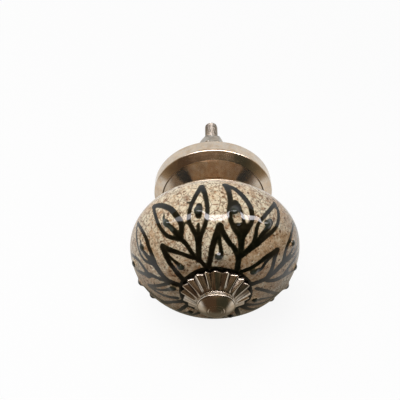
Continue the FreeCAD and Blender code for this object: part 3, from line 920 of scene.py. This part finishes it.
class KNOB_OT_bolt(bpy.types.Operator):
    """Build the bolt with its domed head and its threaded end"""
    bl_idname = "knob.bolt"
    bl_label = "Bolt"

    # Fine rings turned into the dome, each by its radius, width and depth
    turned_rings = [(2.0 * MM, 0.13 * MM, 0.08 * MM), (1.35 * MM, 0.11 * MM, 0.048 * MM)]

    def head_outline(self, metal):
        """Radius and place of the head's rows, from its seat over the band and the dome to the tip."""
        head = metal.head_diameter / 2.0
        band = HEAD_SEAT - metal.head_band
        shoulder = head * 0.94
        dome = band - TIP
        sphere = (shoulder ** 2 + dome ** 2) / (2.0 * dome)
        outline = [(head - 0.1 * MM, HEAD_SEAT)]
        outline += list(rounded([(head, HEAD_SEAT, 0.1 * MM), (head, band, 0.42 * MM),
                                 (head * 0.88, band + 0.12 * MM, 0.08 * MM),
                                 (0.5 * head, band, 0.0)])[:-1])
        steps = 80
        widest = math.asin(min(1.0, shoulder / sphere)) if dome < sphere else math.pi / 2.0
        for step in range(steps):
            turn = widest * (1.0 - step / steps)
            radius = sphere * math.sin(turn)
            along = TIP + sphere * (1.0 - math.cos(turn))
            for ring, width, depth in self.turned_rings:
                along += depth * math.exp(-((radius - ring) / width) ** 2)
            outline.append((radius, along))
        return np.array(outline)

    def thread(self, metal, begin, columns):
        """Rows of the shank with a thread that fades in where it begins and has a lead at the end."""
        thread_depth, run_in, lead_length, lead_depth = 0.40 * MM, 0.8 * MM, 0.75 * MM, 0.55 * MM
        rows_a_turn = 12
        shank = metal.thread_diameter / 2.0
        along = np.linspace(begin, BOLT_END, int(round((BOLT_END - begin) / metal.pitch * rows_a_turn)))
        circle = np.linspace(0.0, 1.0, columns, endpoint=False)
        phase = along[:, None] / metal.pitch - circle[None, :]
        share = np.abs(2.0 * (phase - np.floor(phase)) - 1.0)
        cut = thread_depth * np.clip(1.16 * share - 0.08, 0.0, 1.0)
        fade_in = np.clip((along - begin) / run_in, 0.0, 1.0)
        lead = np.clip((BOLT_END - along) / lead_length, 0.0, 1.0)
        radius = shank - cut * fade_in[:, None]
        radius = np.minimum(radius, shank - lead_depth * (1.0 - lead[:, None]))
        return laid_round(radius, along[:, None], circle * 2.0 * math.pi)

    def execute(self, context):
        _, metal, _ = settings()
        columns = 96
        thread_begin = -5.5 * MM
        outline = self.head_outline(metal)
        front = around(outline[:, 0], outline[:, 1], columns)
        bare = metal.thread_diameter / 2.0 - 0.05 * MM
        plain = around([bare, bare], [HEAD_SEAT, thread_begin], columns)
        rows = np.concatenate([front[::-1], plain, self.thread(metal, thread_begin, columns)])
        points = rows.reshape(-1, 3)
        faces = ring_faces(len(rows), columns, False)
        ends = np.array([[0.0, TIP, 0.0], [0.0, BOLT_END, 0.0]])
        end_row = (len(rows) - 1) * columns
        for column in range(columns):
            after = (column + 1) % columns
            faces.append((len(points), after, column))
            faces.append((len(points) + 1, end_row + column, end_row + after))
        silver = metal_material("head_silver", metal.silver, metal.tarnish_and_shade, roughness=0.15, amount=0.12,
                                patch=2.4, pitch=0.10, depth=1.0)
        steel = metal_material("screw_steel", metal.steel, metal.tarnish_and_shade, roughness=0.42, amount=0.40,
                               patch=1.2, pitch=0.3, depth=0.6)
        in_head = len(outline) * columns
        slots = [0 if min(face) < in_head or len(points) in face else 1 for face in faces]
        made = piece("domed_bolt", np.vstack([points, ends]), faces, [silver, steel], 32.0, slots)
        dress(made, "bolt_metal", "through_bolt")
        return {"FINISHED"}


class KNOB_OT_nuts(bpy.types.Operator):
    """Build the nut behind the door and finish the hidden one"""
    bl_idname = "knob.nuts"
    bl_label = "Nuts"

    def execute(self, context):
        _, metal, _ = settings()
        flat = metal.nut_width / 2.0
        corner = flat / math.cos(math.pi / 6.0)
        bore = metal.thread_diameter / 2.0 + 0.04 * MM
        columns = 6 * 24
        turn = full_turn(columns)
        lean = math.radians(4.0)
        worn_corner = 0.985
        local = np.mod(turn - lean + math.pi / 6.0, math.pi / 3.0) - math.pi / 6.0
        side = np.minimum(flat / np.cos(local), corner * worn_corner)
        height = NUT_BACK - NUT_FRONT
        chamfer_start, chamfer_slope = 0.97, 1.75
        rows = []
        shares = [np.linspace(0, 0.2, 9), np.linspace(0.25, 0.75, 3), np.linspace(0.8, 1, 9)]
        for share in np.concatenate(shares):
            edge = min(share, 1.0 - share) * height
            cone = flat * chamfer_start + edge * chamfer_slope
            rows.append((np.minimum(side, cone), NUT_FRONT + share * height))
        closing = [(bore + 0.35 * MM, NUT_BACK), (bore, NUT_BACK - 0.3 * MM),
                   (bore, NUT_FRONT + 0.3 * MM), (bore + 0.35 * MM, NUT_FRONT)]
        rows += closing
        points = [laid_round(radius, along, turn) for radius, along in rows]
        steel = metal_material("nut_steel", metal.steel, metal.tarnish_and_shade, roughness=0.26, amount=0.45,
                               patch=1.6, pitch=0.3, depth=0.4)
        made = piece("door_nut", np.vstack(points), ring_faces(len(rows), columns, True), [steel], 24.0)
        dress(made, "nut_metal", "mounting_nut")
        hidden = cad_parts["lock_nut"]
        hidden.data.materials.clear()
        hidden.data.materials.append(steel)
        return {"FINISHED"}


class KNOB_OT_studio(bpy.types.Operator):
    """Build the floor, the lamp, what the knob mirrors and the camera"""
    bl_idname = "knob.studio"
    bl_label = "Studio"

    def seen(self, tree):
        """1 for what the camera, a reflection or glass sees, and 0 for light."""
        path = add(tree, "LightPath").outputs
        mirrored = calc(tree, "MAXIMUM", path["Is Glossy Ray"], path["Is Transmission Ray"])
        return calc(tree, "MAXIMUM", path["Is Camera Ray"], mirrored)

    def floor(self, level, bounce, white):
        """A floor that is seen whiter than it lights the knob, and keeps the knob's shadow."""
        made, tree, shader = material("studio_floor")
        place = add(tree, "TexCoord").outputs["Object"]
        grain = noise(tree, place, 1.5 * MM, 3.0)
        duller, whiter = 0.86, 0.90
        pale = blend(tree, grain, (duller,) * 3, (whiter,) * 3)
        seen = self.seen(tree)
        tree.links.new(blend(tree, seen, (bounce,) * 3, pale), shader.inputs["Base Color"])
        shader.inputs["Roughness"].default_value = 0.85
        glow = add(tree, "Emission")
        away = add(tree, "VectorMath", {0: place}, operation="LENGTH").outputs["Value"]
        share = fade(tree, away, 0.08, 0.45, white, 1.0)
        both = add(tree, "MixShader", {0: calc(tree, "MULTIPLY", seen, share), 1: shader.outputs[0],
                                       2: glow.outputs[0]})
        tree.links.new(both.outputs[0], tree.nodes["Material Output"].inputs["Surface"])
        size = 3.0
        mesh = bpy.data.meshes.new("floor")
        mesh.from_pydata([(-size, -size, level), (size, -size, level), (size, size, level),
                          (-size, size, level)], [], [(0, 1, 2, 3)])
        mesh.materials.append(made)
        put_in_scene("floor", mesh)

    def mirrored(self, name, points, faces, shade):
        """A glowing sheet that only reflections show."""
        made, tree, shader = material(name)
        tree.nodes.remove(shader)
        colour_value, strength = shade(tree)
        glow = add(tree, "Emission", {"Color": colour_value, "Strength": strength})
        tree.links.new(glow.outputs[0], tree.nodes["Material Output"].inputs["Surface"])
        mesh = bpy.data.meshes.new(name)
        mesh.from_pydata(points, [], faces)
        mesh.materials.append(made)
        sheet = put_in_scene(name, mesh)
        sheet.visible_camera = False
        sheet.visible_diffuse = False
        sheet.visible_shadow = False

    def room(self, studio, level, middle):
        """The room that the metal and the glaze mirror: dark in front, beige at the sides."""
        near, far, around_to, up_to = 0.001, 0.9, 112.0, 125.0
        behind = 0.03
        bright_side, bright_back = (0.95, 0.93, 0.90), (0.95, 0.94, 0.92)
        across = np.radians(np.linspace(-around_to, around_to, 41))
        points = [(near * math.sin(turn), behind - near * math.cos(turn), level) for turn in across]
        for rise in np.radians(np.linspace(0.0, up_to, 22)):
            for turn in across:
                out = far * math.cos(rise)
                points.append((out * math.sin(turn), -out * math.cos(turn), far * math.sin(rise) + level))
        columns = len(across)
        faces = [(start, start + 1, start + 1 + columns, start + columns)
                 for start in range(len(points) - columns) if start % columns != columns - 1]

        def shade(tree):
            """Tones by how far a place lies ahead of the knob, aside of it and above the floor, with the
            knob's shadow painted on the ground under it and just in front.
            """
            place = add(tree, "TexCoord").outputs["Object"]
            parts = add(tree, "SeparateXYZ", {"Vector": place})
            before = calc(tree, "SUBTRACT", FRONT_SEAT, parts.outputs["Y"])
            ahead = calc(tree, "MAXIMUM", before, 0.015)
            aside = calc(tree, "ABSOLUTE", parts.outputs["X"])
            away = across_both(tree, aside, ahead)
            turn = calc(tree, "ARCTAN2", aside, ahead)
            high = parts.outputs["Z"]
            dark = blend(tree, fade(tree, parts.outputs["X"], -0.012, 0.016), tuple(studio.room_dark),
                         tuple(studio.room_green))
            # Painted shadow of the knob on the mirrored ground just in front of it
            front = blend(tree, fade(tree, ahead, 0.014, 0.030), tuple(studio.room_knob_shadow), dark)
            front = blend(tree, fade(tree, high, 0.36, 0.60), front, tuple(studio.room_brown))
            close = blend(tree, fade(tree, aside, 0.022, 0.046), tuple(studio.room_pale), bright_side)
            beside = blend(tree, fade(tree, away, 0.08, 0.14), close, tuple(studio.room_side))
            wide = fade(tree, away, 0.02, 0.08, math.radians(26.0), math.radians(44.0))
            side = fade(tree, calc(tree, "SUBTRACT", turn, wide), 0.0, math.radians(30.0))
            tone = blend(tree, side, front, beside)
            # Painted shadow of the knob on the mirrored ground under the ball
            depth = calc(tree, "MULTIPLY", calc(tree, "SUBTRACT", parts.outputs["Y"], middle), 1.6)
            under = across_both(tree, aside, depth)
            tone = blend(tree, fade(tree, under, 0.034, 0.020), tone, tuple(studio.room_knob_shadow))
            tone = blend(tree, fade(tree, parts.outputs["Y"], 0.0, behind), tone, bright_back)
            return blend(tree, fade(tree, high, 0.66, 0.80), tone, tuple(studio.room_ceiling)), 1.0

        self.mirrored("mirrored_room", points, faces, shade)

    def strip(self, glow):
        """The long soft lamp above the front, as the glaze mirrors it."""
        height, middle, half, bend = 0.282, -0.173, 0.033, 0.6
        left_end, right_end = -0.34, 0.50
        along = np.linspace(left_end, right_end, 29)
        points = [(x, middle + bend * x * x + side * half, height) for x in along for side in (-1, 1)]
        faces = [(start, start + 1, start + 3, start + 2) for start in range(0, len(points) - 2, 2)]

        def shade(tree):
            """A cool white that fades at both ends."""
            place = add(tree, "TexCoord").outputs["Object"]
            parts = add(tree, "SeparateXYZ", {"Vector": place})
            left = fade(tree, parts.outputs["X"], left_end, -0.10, 0.15, 1.0)
            right = fade(tree, parts.outputs["X"], right_end, 0.22, 0.3, 1.0)
            share = calc(tree, "MULTIPLY", left, right)
            return (1.0, 0.96, 0.99, 1.0), calc(tree, "MULTIPLY", share, glow)

        self.mirrored("mirrored_strip", points, faces, shade)

    def lamp(self, power, size, place):
        """One wide soft lamp overhead."""
        data = bpy.data.lights.new("overhead", "AREA")
        data.size = size
        data.energy = power
        lamp = put_in_scene("overhead", data)
        lamp.location = place
        lamp.visible_camera = False
        lamp.visible_glossy = False

    def world(self, fill):
        """Even light from all round, which is seen as white."""
        world = bpy.data.worlds.new("studio")
        bpy.context.scene.world = world
        world.use_nodes = True
        tree = world.node_tree
        light = tree.nodes["Background"]
        light.inputs["Color"].default_value = (1.0, 1.0, 1.0, 1.0)
        strength = fade(tree, self.seen(tree), 0.0, 1.0, fill, 1.0, soft=False)
        tree.links.new(strength, light.inputs["Strength"])

    def execute(self, context):
        ball, _, studio = settings()
        level = -ball.diameter / 2.0 - 0.05 * MM
        self.floor(level, studio.bounce, studio.white)
        self.room(studio, level + 0.5 * MM, BallShape(ball).middle)
        self.strip(studio.glow)
        self.lamp(studio.lamp_power, studio.lamp_size, studio.lamp_place)
        self.world(studio.fill)
        data = bpy.data.cameras.new("camera")
        data.sensor_width = 36.0
        data.lens = studio.lens
        data.clip_start = 0.005
        camera = put_in_scene("camera", data)
        camera.location = studio.camera_place
        aim = Vector(studio.camera_aim) - Vector(studio.camera_place)
        camera.rotation_euler = aim.to_track_quat("-Z", "Y").to_euler()
        context.scene.camera = camera
        context.scene.view_settings.view_transform = "Standard"
        return {"FINISHED"}


class KNOB_PT_panel(bpy.types.Panel):
    """Lists the steps that dress the knob"""
    bl_label = "Painted knob"
    bl_idname = "KNOB_PT_panel"
    bl_space_type = "VIEW_3D"
    bl_region_type = "UI"
    bl_category = "Knob"

    def draw(self, context):
        column = self.layout.column()
        for operator in OPERATORS:
            column.operator(operator.bl_idname)
        for group_name in ("knob_ball", "knob_metal", "knob_studio"):
            values = getattr(context.scene, group_name)
            box = self.layout.box()
            for name in values.__annotations__:
                box.prop(values, name)


OPERATORS = (KNOB_OT_ball, KNOB_OT_base, KNOB_OT_washer, KNOB_OT_bolt, KNOB_OT_nuts, KNOB_OT_studio)
CLASSES = (KnobBallSettings, KnobMetalSettings, KnobStudioSettings) + OPERATORS + (KNOB_PT_panel,)


def register():
    for one in CLASSES:
        bpy.utils.register_class(one)
    bpy.types.Scene.knob_ball = PointerProperty(type=KnobBallSettings)
    bpy.types.Scene.knob_metal = PointerProperty(type=KnobMetalSettings)
    bpy.types.Scene.knob_studio = PointerProperty(type=KnobStudioSettings)


def unregister():
    for name in ("knob_ball", "knob_metal", "knob_studio"):
        delattr(bpy.types.Scene, name)
    for one in reversed(CLASSES):
        bpy.utils.unregister_class(one)


def main():
    register()
    bpy.ops.knob.ball()
    bpy.ops.knob.base()
    bpy.ops.knob.washer()
    bpy.ops.knob.bolt()
    bpy.ops.knob.nuts()
    bpy.ops.knob.studio()


if __name__ == "__main__":
    main()
